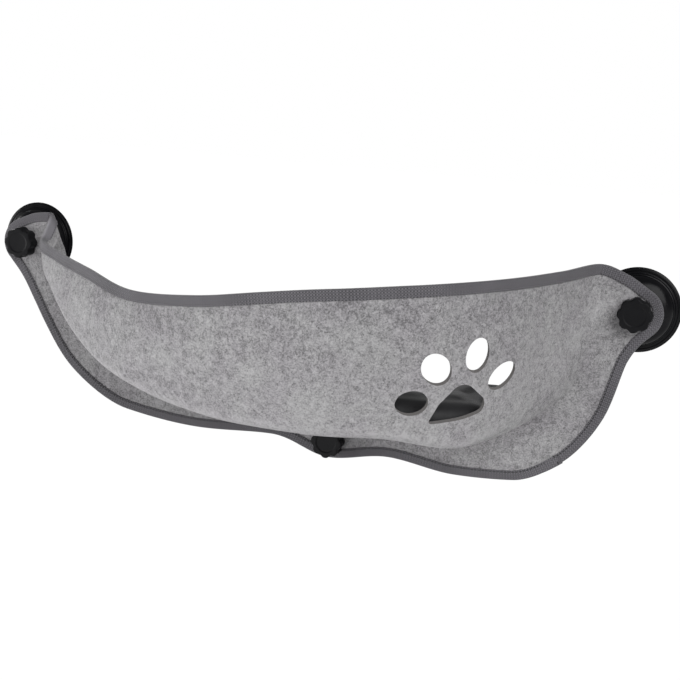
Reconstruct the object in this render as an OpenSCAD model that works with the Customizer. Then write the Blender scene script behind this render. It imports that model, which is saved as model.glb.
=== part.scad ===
// Felt cat perch that hangs on a window by three suction cups. Millimetres. X runs to the right along
// the window, Y points at the window and Z is up. The origin lies on the glass, midway between the
// centres of the two upper suction cups.

/* [Sheet] */
// Distance between the two upper suction cups
cup_spacing = 630; // [600:5:650]
// How far the lowest point of the sheet lies below the centres of the upper cups
sheet_drop = 180; // [170:1:190]
// How far the front edge stands out from the tabs at most
pocket_depth = 212; // [195:1:225]
// Thickness of the felt
felt_t = 3; // [2:0.25:3.5]
// Radius of the round ends of the two tabs
tab_r = 23.8; // [23:0.1:25]
// How far the floor of the pocket sags between its two folds
floor_sag = 8; // [2:0.5:10]
// How far the front wall swells outwards
wall_bulge = 8; // [2:0.5:12]

/* [Edge binding] */
// Width of the binding tape on each face of the felt
binding_w = 8.5; // [7.5:0.25:9.5]
// Thickness of the binding tape
binding_t = 0.8; // [0.6:0.1:1]
// Gap between the tape and the felt
binding_gap = 0.3; // [0.1:0.05:0.4]

/* [Paw cut-out] */
// Width of the paw across its two outer toes
paw_w = 111; // [100:1:115]
// Turn of the paw's cutting direction away from the window's normal, in degrees
paw_turn = 41; // [38:1:44]

/* [Cushion] */
// Thickness of the cushion in its middle
pad_t = 40; // [36:1:42]
// Height of the cushion's seam above its underside
pad_seam_z = 15; // [13:0.5:17]
// Height of the seam band
pad_band = 3; // [2:0.25:4]
// Gap between the cushion and the felt that it lies on
pad_gap = 0.5; // [0.3:0.1:1]
// How far the back of the cushion bulges over the back crease, towards the glass
pad_lean = 8; // [4:0.5:10]

/* [Suction cups] */
// Radius of the upper suction cups
cup_r = 40; // [36:0.5:42]
// Radius of the lower suction cup
small_cup_r = 22.5; // [21:0.5:24]
// Height of the suction cups from the glass to the top of their hubs
cup_h = 24; // [22:0.5:26]
// Radius of the hubs
hub_r = 12; // [11:0.25:13]
// Chamfer round the hub's top
hub_chamfer = 1; // [0.5:0.1:1.5]

/* [Studs and washers] */
// Radius of the studs
stud_r = 3; // [2.5:0.1:3.2]
// Radius of the stud's head, which is moulded into the hub
stud_head_r = 8; // [7:0.25:9]
// Thickness of the stud's head
stud_head_t = 2; // [1.5:0.1:2.5]
// Length of the stud that stands out of the hub
stud_free = 16.5; // [15:0.1:17.5]
// Depth of the stud's head under the top of the hub
stud_bury = 8; // [7:0.25:9]
// Gap between the stud and the rubber moulded round it
mould_gap = 0.05; // [0.03:0.01:0.06]
// Radius of the washers
washer_r = 8; // [7:0.25:9]
// Thickness of the washers between hub and felt
inner_washer_t = 2; // [1:0.1:2.5]
// Thickness of the washers between felt and knob
outer_washer_t = 2; // [1.9:0.1:2.5]
// Gap between the stud and the holes in washers and felt
hole_gap = 0.5; // [0.4:0.05:0.8]

/* [Knobs] */
// Radius of the knobs over their lobes
knob_r = 16; // [15:0.25:17]
// Height of the knobs
knob_h = 13.6; // [13:0.1:15]
// Number of lobes on a knob
knob_lobes = 8; // [6:1:10]
// Radius of the grooves between the lobes
groove_r = 12; // [9:0.5:14]
// How deep the grooves cut into the knob
groove_depth = 1.8; // [1.4:0.1:2]
// Rounding of the knob's front edge
knob_round = 2; // [1.5:0.25:3]
// Chamfer of the knob's back edge
knob_chamfer = 0.8; // [0.5:0.1:1.2]
// Radius of the shallow dish in the knob's front
dish_r = 8.5; // [7:0.25:9]
// Depth of the dish
dish_depth = 0.7; // [0.4:0.1:1]
// Depth of the seat for the washer in the knob's back
seat_depth = 0.6; // [0.4:0.05:0.7]
// Gap round the washer in its seat
seat_gap = 0.5; // [0.4:0.05:0.7]
// Width across the flats of the threaded insert
insert_flats = 10; // [9:0.25:11]
// Length of the threaded insert
insert_l = 8; // [6:0.25:8.5]
// Running gap between the stud and the insert
thread_gap = 0.06; // [0.02:0.01:0.09]

/* [Hidden] */
$fn = 64;
// Overrun of cuts
over = 1;

half = cup_spacing / 2;
felt_plane = cup_h + inner_washer_t + felt_t / 2;
felt_front = felt_plane + felt_t / 2;
washer_front = felt_front + outer_washer_t;
knob_back = washer_front - seat_depth;
stud_end = cup_h + stud_free;
// How far the tape stands out past the felt's edge. The ribs below give the tape's outline.
tape_wrap = binding_gap + binding_t;

felt_colour = [0.65, 0.645, 0.66];
binding_colour = [0.37, 0.36, 0.385];
pad_colour = [0.1, 0.1, 0.11];
rubber_colour = [0.07, 0.07, 0.075];
knob_colour = [0.09, 0.09, 0.095];
steel_colour = [0.7, 0.7, 0.7];
washer_colour = [0.14, 0.14, 0.14];

// Places of the three studs on the glass. The lower one is a share of half the cup spacing to the right,
// and stands a fixed height above the sheet's lowest edge.
lower_x_share = 0.114;
lower_rise = 18.7;
left_fix = [-half, 0, 0];
right_fix = [half, 0, 0];
lower_fix = [lower_x_share * half, 0, lower_rise - sheet_drop];

// Ribs of the sheet, from its left tab to its right one. Each point is in shares of half the cup spacing,
// of the pocket's depth and of the sheet's drop. A tab's rib has its top and its bottom edge. The others
// have their top edge, belly fold, back crease and bottom edge. The sheet is pleated twice at its left
// end: it comes forward at the third rib, and turns back to the right at the fourth.
left_tab_shares = [[-0.962, 0, 0.175], [-1.003, 0, -0.202]];
right_tab_shares = [[0.962, 0, 0.195], [1.022, 0, -0.160]];
rib_shares = [
    [[-0.911, 0, 0.185], [-0.885, 0, 0.075], [-0.870, 0, 0.000], [-0.954, 0, -0.344]],
    [[-0.876, 0.150, 0.055], [-0.848, 0.200, -0.085], [-0.832, 0, -0.125], [-0.909, 0, -0.476]],
    [[-0.750, 0.320, 0.020], [-0.775, 0.310, -0.195], [-0.755, 0, -0.290], [-0.810, 0, -0.701]],
    [[-0.562, 0.550, -0.007], [-0.635, 0.485, -0.355], [-0.622, 0, -0.490], [-0.597, 0, -0.905]],
    [[-0.352, 0.770, -0.047], [-0.430, 0.670, -0.500], [-0.413, 0, -0.645], [-0.343, 0, -0.946]],
    [[-0.111, 0.930, -0.003], [-0.187, 0.795, -0.578], [-0.175, 0, -0.710], [-0.080, 0, -0.917]],
    [[0.076, 0.990, 0.057], [0.003, 0.860, -0.595], [0.016, 0, -0.728], [0.114, 0, -1.000]],
    [[0.283, 0.990, 0.115], [0.210, 0.880, -0.590], [0.238, 0, -0.728], [0.308, 0, -0.946]],
    [[0.473, 0.890, 0.155], [0.413, 0.835, -0.570], [0.444, 0, -0.700], [0.514, 0, -0.985]],
    [[0.616, 0.715, 0.179], [0.584, 0.720, -0.606], [0.603, 0, -0.640], [0.698, 0, -0.964]],
    [[0.717, 0.493, 0.193], [0.698, 0.535, -0.572], [0.730, 0, -0.555], [0.845, 0, -0.819]],
    [[0.797, 0.238, 0.205], [0.787, 0.295, -0.517], [0.832, 0, -0.433], [0.949, 0, -0.544]],
    [[0.889, 0, 0.232], [0.898, 0, -0.045], [0.905, 0, -0.122], [0.994, 0, -0.250]]
];
// Times that each of these ribs is smoothed, which takes the folds out towards the right end
rib_passes = [0, 0, 0, 0, 0, 0, 0, 0, 0, 0, 1, 4, 2];
// Angles between which the round ends of the tabs run, from the bottom edge to the top edge
left_end = [228, 113];
right_end = [-45, 62];
// Rows of points across the flange, the floor and the front wall, and columns in each bay between ribs
flange_rows = 2;
floor_rows = 4;
wall_rows = 3;
bay_steps = [1, 2, 3, 2, 3, 3, 3, 3, 3, 3, 3, 3, 3, 3, 1, 1];
last_row = flange_rows + floor_rows + wall_rows + 2;
crease_row = flange_rows + 1;

function unit(v) = v / norm(v);
function mix(a, b, t) = a + (b - a) * t;
function arch(t) = 4 * t * (1 - t);
function place(p) = [p[0] * half, -felt_plane - p[1] * pocket_depth, p[2] * sheet_drop];

// A rib as a row of points from the bottom edge to the top edge, the second and the last but one at the
// inner border of the binding
function pocket_rib(p) =
    let (
        fold = place(p[1]),
        crease = place(p[2]),
        top = place(p[0]) - unit(place(p[0]) - fold) * tape_wrap,
        low = place(p[3]) + unit(crease - place(p[3])) * tape_wrap,
        border = low + unit(crease - low) * binding_w,
        reach = 1 - binding_w / norm(top - fold),
        sag = [0, 0, -floor_sag * p[1][1]],
        bulge = [0, -wall_bulge * p[1][1], 0]
    )
    concat(
        [low],
        [for (k = [0:flange_rows]) mix(border, crease, k / flange_rows)],
        [for (k = [1:floor_rows]) mix(crease, fold, k / floor_rows) + sag * arch(k / floor_rows)],
        [for (k = [1:wall_rows]) mix(fold, top, reach * k / wall_rows) + bulge * arch(reach * k / wall_rows)],
        [top]
    );
function smoothed(rib, passes) =
    passes == 0 ? rib :
    smoothed(
        [for (j = [0:last_row])
            j <= crease_row || j >= last_row - 1 ? rib[j] :
            (rib[j - 1] + 2 * rib[j] + rib[j + 1]) / 4],
        passes - 1
    );
function tab_rib(p) =
    let (
        down = unit(place(p[1]) - place(p[0])),
        top = place(p[0]) + down * tape_wrap,
        low = place(p[1]) - down * tape_wrap,
        inset = -down * binding_w,
        spans = last_row - 2
    )
    concat([low], [for (k = [0:spans]) mix(low + inset, top - inset, k / spans)], [top]);
function round_end(centre, r, angles) =
    [for (k = [0:last_row])
        let (a = mix(angles[0], angles[1], k / last_row))
        [centre[0] + r * cos(a), -felt_plane, centre[2] + r * sin(a)]];

ribs = concat(
    [round_end(left_fix, tab_r, left_end), tab_rib(left_tab_shares)],
    [for (k = [0:len(rib_shares) - 1]) smoothed(pocket_rib(rib_shares[k]), rib_passes[k])],
    [tab_rib(right_tab_shares), round_end(right_fix, tab_r, right_end)]
);

// Columns between the ribs follow a smooth curve that never overshoots them, so the tabs stay flat
function harmonic(a, b) = a * b > 0 ? 2 * a * b / (a + b) : 0;
function step_at(i, j) = ribs[i + 1][j] - ribs[i][j];
function slope(i, j) =
    i == 0 ? step_at(0, j) :
    i == len(ribs) - 1 ? step_at(i - 1, j) :
    [for (k = [0:2]) harmonic(step_at(i - 1, j)[k], step_at(i, j)[k])];
function ease(t) = t * t * (3 - 2 * t);
function between_ribs(i, j, t) =
    mix(ribs[i][j], ribs[i + 1][j], ease(t))
    + slope(i, j) * t * (1 - t) * (1 - t)
    - slope(i + 1, j) * t * t * (1 - t);
sheet = concat(
    [for (i = [0:len(bay_steps) - 1])
        for (s = [0:bay_steps[i] - 1])
            [for (j = [0:last_row]) between_ribs(i, j, s / bay_steps[i])]],
    [ribs[len(ribs) - 1]]
);
last_col = len(sheet) - 1;
function column_of(rib) = rib == 0 ? 0 : bay_steps[rib - 1] + column_of(rib - 1);
first_free = column_of(2);
last_free = column_of(len(ribs) - 3);

// Direction out of the pocket at each point of the sheet, lengthened at a fold so that both sides keep
// their thickness. The flange and the tabs are flat.
function is_flat(i, j) = i <= first_free || i >= last_free || j < crease_row;
function side_normal(i, j, k) =
    unit(cross(sheet[i + 1][j] - sheet[i - 1][j], sheet[i][max(j, k)] - sheet[i][min(j, k)]));
function mitre(a, b) = (a + b) / (1 + a * b);
function normal_at(i, j) =
    is_flat(i, j) ? [0, -1, 0] :
    j == last_row ? side_normal(i, j, j - 1) :
    mitre(side_normal(i, j, j - 1), side_normal(i, j, j + 1));
normals = [for (i = [0:last_col]) [for (j = [0:last_row]) normal_at(i, j)]];

// Border of the sheet, anticlockwise as seen from the room
border_loop = concat(
    [for (i = [0:last_col]) [i, 0]],
    [for (j = [1:last_row]) [last_col, j]],
    [for (i = [last_col - 1:-1:0]) [i, last_row]],
    [for (j = [last_row - 1:-1:1]) [0, j]]
);

// Closed solid between two grids of points that face each other
module solid_between(front, back) {
    cols = len(front);
    rows = len(front[0]);
    cells = [for (i = [0:cols - 2]) for (j = [0:rows - 2]) [i * rows + j, (i + 1) * rows + j]];
    rim = concat(
        [for (i = [0:cols - 1]) i * rows],
        [for (j = [1:rows - 1]) (cols - 1) * rows + j],
        [for (i = [cols - 2:-1:0]) i * rows + rows - 1],
        [for (j = [rows - 2:-1:1]) j]
    );
    side = cols * rows;
    turns = len(rim);
    polyhedron(
        points = concat([for (c = front) each c], [for (c = back) each c]),
        faces = concat(
            [for (c = cells) each [[c[0], c[0] + 1, c[1] + 1], [c[0], c[1] + 1, c[1]]]],
            [for (c = cells) each [
                [side + c[0], side + c[1] + 1, side + c[0] + 1],
                [side + c[0], side + c[1], side + c[1] + 1]]],
            [for (k = [0:turns - 1])
                let (p = rim[k], q = rim[(k + 1) % turns])
                each [[p, q, side + q], [p, side + q, side + p]]]
        ),
        convexity = 10
    );
}

// Closed ring swept through a loop of profiles. The sides named in leaning are split along their other
// diagonal.
module ring_through(profiles, leaning) {
    turns = len(profiles);
    sides = len(profiles[0]);
    polyhedron(
        points = [for (p = profiles) each p],
        faces = [for (m = [0:turns - 1]) for (k = [0:sides - 1])
            let (
                here = m * sides,
                next = ((m + 1) % turns) * sides,
                up = (k + 1) % sides
            )
            each len(search(k, leaning)) > 0 ?
                [[here + k, next + k, here + up], [next + k, next + up, here + up]] :
                [[here + k, next + k, next + up], [here + k, next + up, here + up]]],
        convexity = 10
    );
}

// Something drawn along a stud, with its distance from the glass as its height
module on_stud(fix) {
    translate(fix)
        rotate([90, 0, 0])
            children();
}

// The paw: toes as [x, y, long radius, short radius, turn] and the round corners of the main pad as
// [x, y, radius], in shares of the paw's width
toe_shares = [
    [-0.377, -0.002, 0.120, 0.081, 12],
    [-0.230, 0.270, 0.131, 0.106, 145],
    [0.109, 0.375, 0.127, 0.103, 60],
    [0.378, 0.201, 0.147, 0.085, 26]
];
main_pad_shares = [[0.018, 0.017, 0.128], [0.160, -0.005, 0.067], [-0.209, -0.124, 0.020]];
// Place of the paw on the sheet, and how far its cut reaches to either side, as shares
paw_place_shares = [0.601, 0.729, -0.387];
paw_reach_shares = [-0.250, 0.150];
toe_points = 24;
module toe(t) {
    translate([t[0], t[1]] * paw_w)
        rotate(t[4])
            polygon([for (k = [0:toe_points - 1])
                let (a = 360 * k / toe_points)
                [t[2] * cos(a), t[3] * sin(a)] * paw_w]);
}
module paw_outline() {
    for (t = toe_shares) toe(t);
    hull()
        for (c = main_pad_shares)
            translate([c[0], c[1]] * paw_w)
                circle(r = c[2] * paw_w, $fn = 24);
}

module felt_panel() {
    front = [for (i = [0:last_col]) [for (j = [0:last_row]) sheet[i][j] + normals[i][j] * felt_t / 2]];
    back = [for (i = [0:last_col]) [for (j = [0:last_row]) sheet[i][j] - normals[i][j] * felt_t / 2]];
    cut = paw_reach_shares * paw_w;
    color(felt_colour)
        difference() {
            solid_between(front, back);
            for (fix = [left_fix, right_fix, lower_fix])
                on_stud(fix)
                    translate([0, 0, cup_h])
                        cylinder(r = stud_r + hole_gap, h = felt_front - cup_h + over);
            translate(place(paw_place_shares))
                rotate([90, 0, paw_turn])
                    translate([0, 0, cut[0]])
                        linear_extrude(cut[1] - cut[0])
                            paw_outline();
        }
}

// The tape is folded round the border as a U. Its free borders follow the second row and column of points.
// The sides of its section that lie along the felt are split as the felt's faces are, so that both twist
// alike.
wrap_share = 0.5;
felt_twist_sides = [0, 6, 7];
module edge_binding() {
    inside = felt_t / 2 + binding_gap;
    outside = inside + binding_t;
    keep = 1 - binding_w / tab_r;
    color(binding_colour)
        ring_through([for (c = border_loop)
            let (
                i = c[0],
                j = c[1],
                edge = sheet[i][j],
                n = normals[i][j],
                is_end = i == 0 || i == last_col,
                fix = i == 0 ? left_fix : right_fix,
                centre = [fix[0], -felt_plane, fix[2]],
                k = j == 0 ? 1 : last_row - 1,
                border = is_end ? mix(centre, edge, keep) : sheet[i][k],
                m = is_end ? n : normals[i][k],
                out = unit(edge - border)
            )
            [
                border + m * outside,
                edge + n * outside,
                edge + out * tape_wrap + n * outside * wrap_share,
                edge + out * tape_wrap - n * outside * wrap_share,
                edge - n * outside,
                border - m * outside,
                border - m * inside,
                edge + out * binding_gap - n * inside,
                edge + out * binding_gap + n * inside,
                border + m * inside
            ]], felt_twist_sides);
}

// The cushion lies on the floor of the pocket. Its grid runs from -1 to 1 both ways. It starts one column
// inside two of the sheet's ribs, and its back and front edges are shares of the floor's width.
pad_ribs = [5, 12];
pad_cols = [column_of(pad_ribs[0]) + 1, column_of(pad_ribs[1]) - 1];
pad_back_share = 0.05;
pad_front_share = 0.93;
pad_waist_share = 0.04;
pad_crown_share = 0.08;
pad_fullness_share = 0.3;
pad_a = 22;
pad_b = 12;
function grid_at(grid, u, v) =
    let (
        i = floor(u),
        j = floor(v)
    )
    mix(mix(grid[i][j], grid[i + 1][j], u - i), mix(grid[i][j + 1], grid[i + 1][j + 1], u - i), v - j);
function rim_fade(a, b) = pow((1 - pow(a, 6)) * (1 - pow(b, 6)), pad_fullness_share);
function crown(a, b) = 1 - pad_crown_share + pad_crown_share * (1 - a * a) * (1 - b * b);
function pad_base(a, b) =
    let (
        u = mix(pad_cols[0], pad_cols[1], (1 + a * (1 - pad_waist_share * (1 - b * b))) / 2),
        w = mix(pad_back_share, pad_front_share, (1 + b * (1 - pad_waist_share * (1 - a * a))) / 2),
        v = crease_row + floor_rows * w
    )
    grid_at(sheet, u, v) - grid_at(normals, u, v) * (felt_t / 2 + pad_gap);
function seam_rise(b) = [0, pad_lean * pow((1 - b) / 2, 2), pad_seam_z];
module cushion_pad() {
    above = pad_t - pad_seam_z - pad_band;
    at_a = [for (k = [0:pad_a]) sin(90 * (2 * k / pad_a - 1))];
    at_b = [for (k = [0:pad_b]) sin(90 * (2 * k / pad_b - 1))];
    low = [for (a = at_a) [for (b = at_b) pad_base(a, b) + seam_rise(b) * (1 - rim_fade(a, b))]];
    high = [for (a = at_a) [for (b = at_b)
        pad_base(a, b) + seam_rise(b) + [0, 0, pad_band + above * rim_fade(a, b) * crown(a, b)]]];
    color(pad_colour)
        solid_between(low, high);
}

// Back of a suction cup from its rim to its hub, as shares of the way from hub to rim and of its height:
// the lip, its bead and the step, then a dome
cup_lip_shares = [
    [1, 0], [1, 0.055], [0.93, 0.075], [0.92, 0.105], [0.885, 0.105], [0.875, 0.08], [0.80, 0.095],
    [0.785, 0.17]
];
dome_share = 0.745;
dome_low_share = 0.185;
dome_high_share = 0.62;
seal_share = 0.93;
hollow_share = 0.12;
arc_points = 8;
module suction_cup(fix, r) {
    web = r - hub_r;
    seal = hub_r + seal_share * web;
    color(rubber_colour)
        on_stud(fix)
            difference() {
                rotate_extrude()
                    polygon(concat(
                        [for (p = cup_lip_shares) [hub_r + p[0] * web, p[1] * cup_h]],
                        [for (k = [0:arc_points])
                            let (a = 90 * k / arc_points)
                            [hub_r + dome_share * web * cos(a),
                             cup_h * mix(dome_low_share, dome_high_share, sin(a))]],
                        [[hub_r, cup_h - hub_chamfer], [hub_r - hub_chamfer, cup_h], [0, cup_h]],
                        [for (k = [arc_points:-1:0])
                            let (a = 90 * k / arc_points)
                            [seal * cos(a), hollow_share * cup_h * sin(a)]]
                    ));
                stud_shape(mould_gap);
            }
}
module stud_shape(gap) {
    head_z = cup_h - stud_bury;
    translate([0, 0, head_z - stud_head_t - gap])
        cylinder(r = stud_head_r + gap, h = stud_head_t + 2 * gap);
    translate([0, 0, head_z - stud_head_t / 2])
        cylinder(r = stud_r + gap, h = stud_end - head_z + stud_head_t / 2);
}
module stud(fix) {
    color(steel_colour)
        on_stud(fix)
            stud_shape(0);
}
module washer(fix, z, t) {
    color(washer_colour)
        on_stud(fix)
            translate([0, 0, z])
                difference() {
                    cylinder(r = washer_r, h = t);
                    translate([0, 0, -over])
                        cylinder(r = stud_r + hole_gap, h = t + 2 * over);
                }
}
module inner_washer(fix) {
    washer(fix, cup_h, inner_washer_t);
}
module outer_washer(fix) {
    washer(fix, felt_front, outer_washer_t);
}

module knob(fix) {
    well = stud_end - knob_back + over;
    color(knob_colour)
        on_stud(fix)
            translate([0, 0, knob_back])
                difference() {
                    rotate_extrude()
                        polygon(concat(
                            [[0, 0], [knob_r - knob_chamfer, 0], [knob_r, knob_chamfer]],
                            [for (k = [0:arc_points])
                                let (a = 90 * k / arc_points)
                                [knob_r - knob_round * (1 - cos(a)), knob_h - knob_round * (1 - sin(a))]],
                            [[dish_r, knob_h], [dish_r - dish_depth, knob_h - dish_depth],
                             [0, knob_h - dish_depth]]
                        ));
                    for (k = [0:knob_lobes - 1])
                        rotate(360 * (k + 0.5) / knob_lobes)
                            translate([knob_r - groove_depth + groove_r, 0, -over])
                                cylinder(r = groove_r, h = knob_h + 2 * over, $fn = 24);
                    translate([0, 0, -over])
                        cylinder(r = washer_r + seat_gap, h = seat_depth + over);
                    hexagon(seat_depth + insert_l);
                    cylinder(r = stud_r + hole_gap, h = well);
                }
}
module hexagon(h) {
    cylinder(r = insert_flats / 2 / cos(30), h = h, $fn = 6);
}
module knob_insert(fix) {
    color(steel_colour)
        on_stud(fix)
            translate([0, 0, washer_front])
                difference() {
                    hexagon(insert_l);
                    translate([0, 0, -over])
                        cylinder(r = stud_r + thread_gap, h = insert_l + 2 * over);
                }
}

felt_panel();
edge_binding();
cushion_pad();
suction_cup(left_fix, cup_r);  // left_suction_cup
stud(left_fix);  // left_stud
inner_washer(left_fix);  // left_inner_washer
outer_washer(left_fix);  // left_outer_washer
knob(left_fix);  // left_knob
knob_insert(left_fix);  // left_knob_insert
suction_cup(right_fix, cup_r);  // right_suction_cup
stud(right_fix);  // right_stud
inner_washer(right_fix);  // right_inner_washer
outer_washer(right_fix);  // right_outer_washer
knob(right_fix);  // right_knob
knob_insert(right_fix);  // right_knob_insert
suction_cup(lower_fix, small_cup_r);  // lower_suction_cup
stud(lower_fix);  // lower_stud
inner_washer(lower_fix);  // lower_inner_washer
outer_washer(lower_fix);  // lower_outer_washer
knob(lower_fix);  // lower_knob
knob_insert(lower_fix);  // lower_knob_insert
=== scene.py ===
"""A felt perch that hangs on a window by three suction cups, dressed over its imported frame."""

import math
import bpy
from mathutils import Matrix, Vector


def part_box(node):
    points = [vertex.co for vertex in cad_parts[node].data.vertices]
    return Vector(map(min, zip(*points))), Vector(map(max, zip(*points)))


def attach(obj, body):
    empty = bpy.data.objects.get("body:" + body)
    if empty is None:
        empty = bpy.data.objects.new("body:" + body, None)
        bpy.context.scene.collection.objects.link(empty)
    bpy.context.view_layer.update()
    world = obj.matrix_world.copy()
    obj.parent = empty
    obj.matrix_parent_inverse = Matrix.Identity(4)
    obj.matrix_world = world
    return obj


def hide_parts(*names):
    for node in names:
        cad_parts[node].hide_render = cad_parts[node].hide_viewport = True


bl_info = {
    "name": "Felt Window Perch",
    "version": (1, 0, 0),
    "blender": (4, 5, 0),
    "location": "3D View > Sidebar > Perch",
    "description": "Makes a felt window perch with its edge tape, cushion, suction cups and knobs",
    "category": "Add Mesh",
}

import bmesh
import bpy
import numpy as np
from bpy.props import FloatProperty, FloatVectorProperty, IntProperty, PointerProperty
from mathutils import Matrix, Vector, geometry
from mathutils.bvhtree import BVHTree

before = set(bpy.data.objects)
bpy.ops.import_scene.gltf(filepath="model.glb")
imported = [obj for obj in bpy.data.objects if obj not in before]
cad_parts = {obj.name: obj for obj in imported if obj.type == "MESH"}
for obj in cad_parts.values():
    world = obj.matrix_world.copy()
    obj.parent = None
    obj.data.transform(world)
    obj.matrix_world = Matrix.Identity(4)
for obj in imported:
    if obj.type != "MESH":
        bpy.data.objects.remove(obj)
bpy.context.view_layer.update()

# Places and sizes that come from the frame. X runs along the window, Y points at the glass, which is at
# zero, and Z is up.
FIXINGS = ("left", "right", "lower")


def corners(node):
    low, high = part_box(node)
    return np.array(low), np.array(high)


def from_glass(node):
    """How far from the glass a node begins and ends."""
    low, high = corners(node)
    return -high[1], -low[1]


def half_width(node, axis=0):
    low, high = corners(node)
    return (high[axis] - low[axis]) / 2


def on_glass(side):
    """Centre of a suction cup, on the glass."""
    low, high = corners(f"{side}_suction_cup")
    middle = (low + high) / 2
    return np.array([middle[0], 0.0, middle[2]])


CENTRE = {side: on_glass(side) for side in FIXINGS}
HALF = (CENTRE["right"][0] - CENTRE["left"][0]) / 2
DROP = -corners("edge_binding")[0][2]
FELT_BACK = from_glass("left_inner_washer")[1]
FELT_FRONT = from_glass("left_outer_washer")[0]
FELT_PLANE = (FELT_BACK + FELT_FRONT) / 2
FELT_T = FELT_FRONT - FELT_BACK
CUP_H = from_glass("left_suction_cup")[1]
STUD_HEAD_BACK, STUD_END = from_glass("left_stud")
STUD_HEAD_R = half_width("left_stud")
KNOB_BACK, KNOB_FRONT = from_glass("left_knob")
KNOB_R = half_width("left_knob", 2)
WASHER_R = half_width("left_outer_washer")
INSERT_BACK, INSERT_FRONT = from_glass("left_knob_insert")
INSERT_CORNER_R = half_width("left_knob_insert")

# Sizes of the fixings that the frame doesn't give
STUD_HOLE_R, STUD_R, STUD_CORE_R, STUD_HEAD_T, CUP_HUB_R = 0.0035, 0.003, 0.0026, 0.002, 0.012
# How far a thread stays within its radius, and the gap between a part and the one moulded round it
THREAD_PLAY, MOULD_GAP = 0.00001, 0.00005

# Ribs of the sheet, as in the CAD source: shares of half the cup spacing, of the pocket's depth and of the
# sheet's drop. A tab's rib has its top and bottom edge, a pocket's rib its top edge, belly fold, back
# crease and bottom edge. The edges are the tape's outside.
LEFT_TAB = ((-0.962, 0, 0.175), (-1.003, 0, -0.202))
RIGHT_TAB = ((0.962, 0, 0.195), (1.022, 0, -0.160))
POCKET_RIBS = (
    ((-0.911, 0, 0.185), (-0.885, 0, 0.075), (-0.870, 0, 0.000), (-0.954, 0, -0.344)),
    ((-0.876, 0.150, 0.055), (-0.848, 0.200, -0.085), (-0.832, 0, -0.125), (-0.909, 0, -0.476)),
    ((-0.750, 0.320, 0.020), (-0.775, 0.310, -0.195), (-0.755, 0, -0.290), (-0.810, 0, -0.701)),
    ((-0.562, 0.550, -0.007), (-0.635, 0.485, -0.355), (-0.622, 0, -0.490), (-0.597, 0, -0.905)),
    ((-0.352, 0.770, -0.047), (-0.430, 0.670, -0.500), (-0.413, 0, -0.645), (-0.343, 0, -0.946)),
    ((-0.111, 0.930, -0.003), (-0.187, 0.795, -0.578), (-0.175, 0, -0.710), (-0.080, 0, -0.917)),
    ((0.076, 0.990, 0.057), (0.003, 0.860, -0.595), (0.016, 0, -0.728), (0.114, 0, -1.000)),
    ((0.283, 0.990, 0.115), (0.210, 0.880, -0.590), (0.238, 0, -0.728), (0.308, 0, -0.946)),
    ((0.473, 0.890, 0.155), (0.413, 0.835, -0.570), (0.444, 0, -0.700), (0.514, 0, -0.985)),
    ((0.616, 0.715, 0.179), (0.584, 0.720, -0.606), (0.603, 0, -0.640), (0.698, 0, -0.964)),
    ((0.717, 0.493, 0.193), (0.698, 0.535, -0.572), (0.730, 0, -0.555), (0.845, 0, -0.819)),
    ((0.797, 0.238, 0.205), (0.787, 0.295, -0.517), (0.832, 0, -0.433), (0.949, 0, -0.544)),
    ((0.889, 0, 0.232), (0.898, 0, -0.045), (0.905, 0, -0.122), (0.994, 0, -0.250)),
)
# How softly the folds run out on each of these ribs, in rows of the CAD source
RIB_SOFTNESS = (0, 0, 0, 0, 0, 0, 0, 0, 0, 0, 1, 7, 3)
# Angles of the round ends of the two tabs, from the bottom edge to the top edge
LEFT_END = (228, 113)
RIGHT_END = (-45, 62)
# Rows of the CAD source: the tape's inner border, the back crease, the belly fold, the upper border, the top
TAPE_ROW, CREASE_ROW, FOLD_ROW, UPPER_ROW, TOP_ROW = 1, 3, 7, 10, 11
# The paw, as shares of its width: toes as (x, y, long radius, short radius, turn), and the round corners
# of the main pad as (x, y, radius)
TOES = (
    (-0.377, 0.003, 0.120, 0.091, 4),
    (-0.230, 0.270, 0.131, 0.106, 145),
    (0.109, 0.375, 0.127, 0.107, 74),
    (0.378, 0.201, 0.147, 0.085, 26),
)
MAIN_PAD = ((0.018, 0.015, 0.130), (0.160, -0.010, 0.069), (-0.209, -0.129, 0.020), (-0.101, -0.048, 0.086))
PAW_PLACE = (0.601, 0.729, -0.387)
# How far the punch that cut it leaned down from the level
PUNCH_LEAN = math.radians(30)
# The cushion on the floor of the pocket: its first and last ribs, and shares of the floor's width
PAD_RIBS = (5, 12)
PAD_BACK, PAD_FRONT, PAD_WAIST, PAD_CROWN, PAD_FULLNESS = 0.05, 0.93, 0.04, 0.08, 0.3
# How much plumper its right end is, and how far a point may sink where another would swell
PAD_PLUMP, PAD_SINK = 0.22, 0.25
# Half its depth, how much smaller it starts, and its gaps to the felt before and after it swells
PAD_HALF_DEPTH, PAD_SHRINK, PAD_FLOOR_GAP, PAD_FELT_GAP = 0.09, 0.001, 0.0005, 0.0006
# How far from a point the felt may be for the point to be kept off it
KEEP_OFF_REACH = 0.01
PIPING_STEP = 0.004
# The cloth solver's settings for the cushion, and for how many frames it runs
SWELL = {
    "quality": 6, "mass": 0.25, "tension_stiffness": 12, "compression_stiffness": 12,
    "bending_stiffness": 0.4, "use_pressure": True, "uniform_pressure_force": 4,
}
SWELL_FRAMES = 20
# The tape's weave: distances between its ribs and between its picks
RIB_PITCH, PICK_PITCH = 0.0024, 0.0027
# Distances from the axis between which the grooves of a knob grow to their full depth
LOBE_INNER_R, LOBE_OUTER_R = 0.0112, 0.0150

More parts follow.
